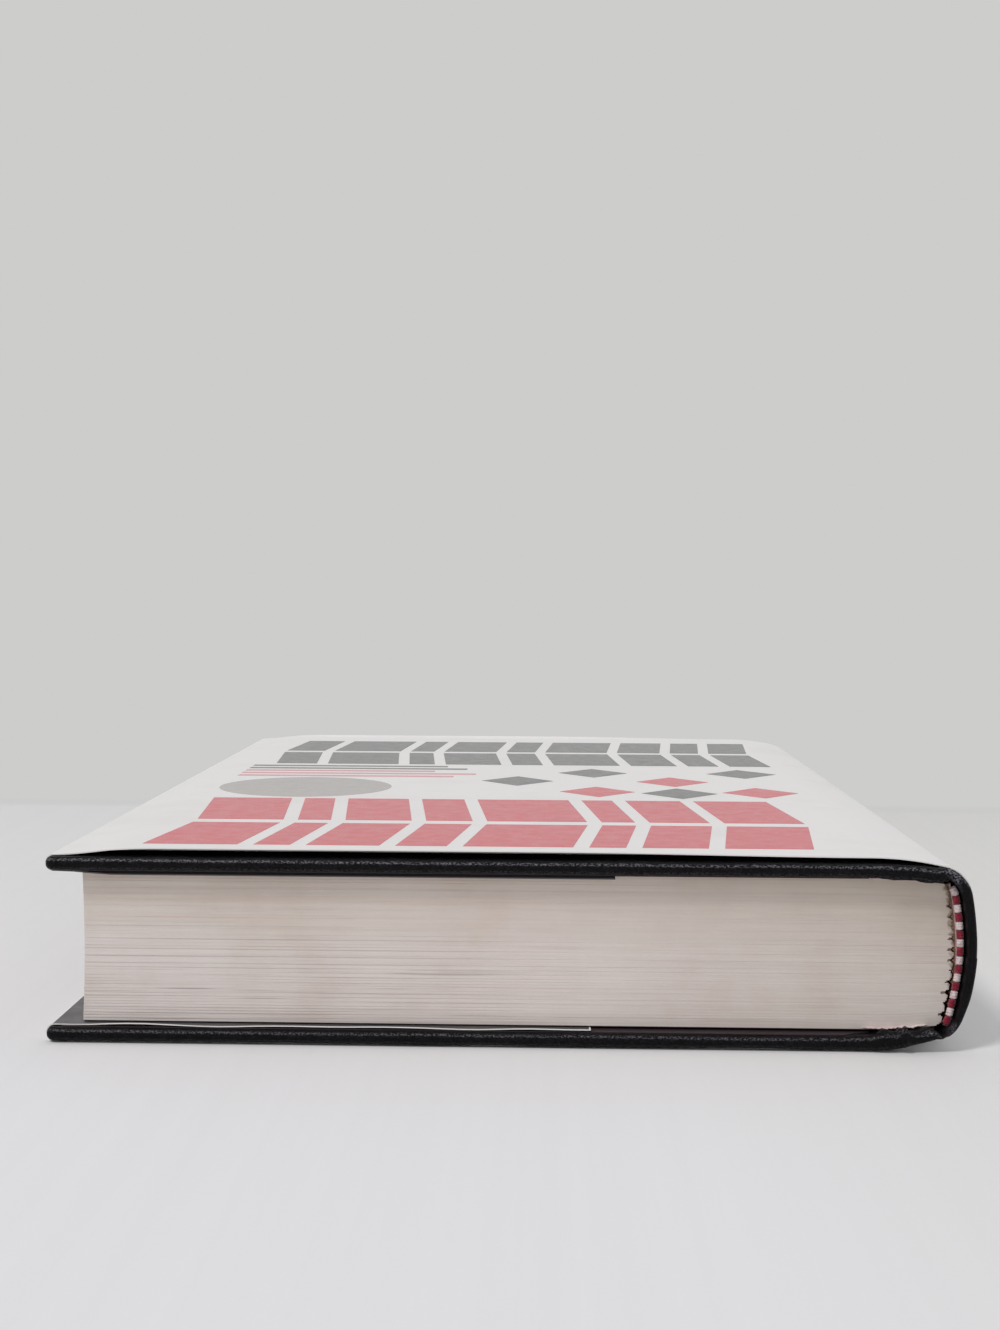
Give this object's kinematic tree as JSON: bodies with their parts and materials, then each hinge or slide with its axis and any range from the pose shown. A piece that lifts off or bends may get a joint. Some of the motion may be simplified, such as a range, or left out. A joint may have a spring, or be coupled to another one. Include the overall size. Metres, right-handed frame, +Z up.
{
  "type": "hardcover book with paper jacket",
  "caption": "Closed hardcover book with a rounded spine, striped head and tail bands and a flapped paper jacket; both covers open on hinges along the spine.",
  "frame": {"origin": "centre of the bottom of the bounding box, on the surface that the book lies on", "axes": "+Y from head to tail, the longest extent; +X from fore-edge to spine; +Z up through the front cover, the shortest extent"},
  "size_m": [0.1602, 0.235, 0.0333],
  "materials": {
    "page_paper": "uncoated book paper, cream",
    "spine_glue": "dried glue, brown",
    "mull": "open-weave cotton",
    "lining_paper": "kraft paper",
    "endpaper": "dark maroon paper, matte",
    "binder_board": "grey binder's board",
    "case_cloth": "black grained covering, low gloss",
    "band_tape": "cotton tape",
    "red_thread": "red thread, slight sheen",
    "white_thread": "white thread, slight sheen",
    "jacket_paper": "coated white paper, satin varnish",
    "red_print": "red ink under satin varnish",
    "dark_print": "black ink under satin varnish",
    "pink_print": "pink ink under satin varnish",
    "seal_print": "silver-grey ink, satin"
  },
  "bodies": {
    "text_block": {"text_block": "page_paper", "spine_glue": "spine_glue", "spine_mull": "mull", "spine_lining": "lining_paper", "front_flyleaf": "endpaper", "back_flyleaf": "endpaper", "head_band_tape": "band_tape", "head_band_red_thread": "red_thread", "head_band_white_thread": "white_thread", "tail_band_tape": "band_tape", "tail_band_red_thread": "red_thread", "tail_band_white_thread": "white_thread", "spine_inlay": "binder_board", "spine_cloth": "case_cloth", "jacket_spine": "jacket_paper"},
    "front_cover": {"front_board": "binder_board", "front_cloth": "case_cloth", "front_mull_wing": "mull", "front_pastedown": "endpaper", "jacket_front": "jacket_paper", "jacket_print_red": "red_print", "jacket_print_dark": "dark_print", "jacket_print_pink": "pink_print", "jacket_seal": "seal_print"},
    "back_cover": {"back_board": "binder_board", "back_cloth": "case_cloth", "back_mull_wing": "mull", "back_pastedown": "endpaper", "jacket_back": "jacket_paper"}
  },
  "joints": [
    {"name": "front_hinge", "type": "hinge", "parent": "text_block", "child": "front_cover", "pos_m": [0.07492, 0, 0.03183], "axis": [0, 1, 0], "range_deg": [0, 180]},
    {"name": "back_hinge", "type": "hinge", "parent": "text_block", "child": "back_cover", "pos_m": [0.07492, 0, 0.00067], "axis": [0, -1, 0], "range_deg": [0, 180]}
  ]
}
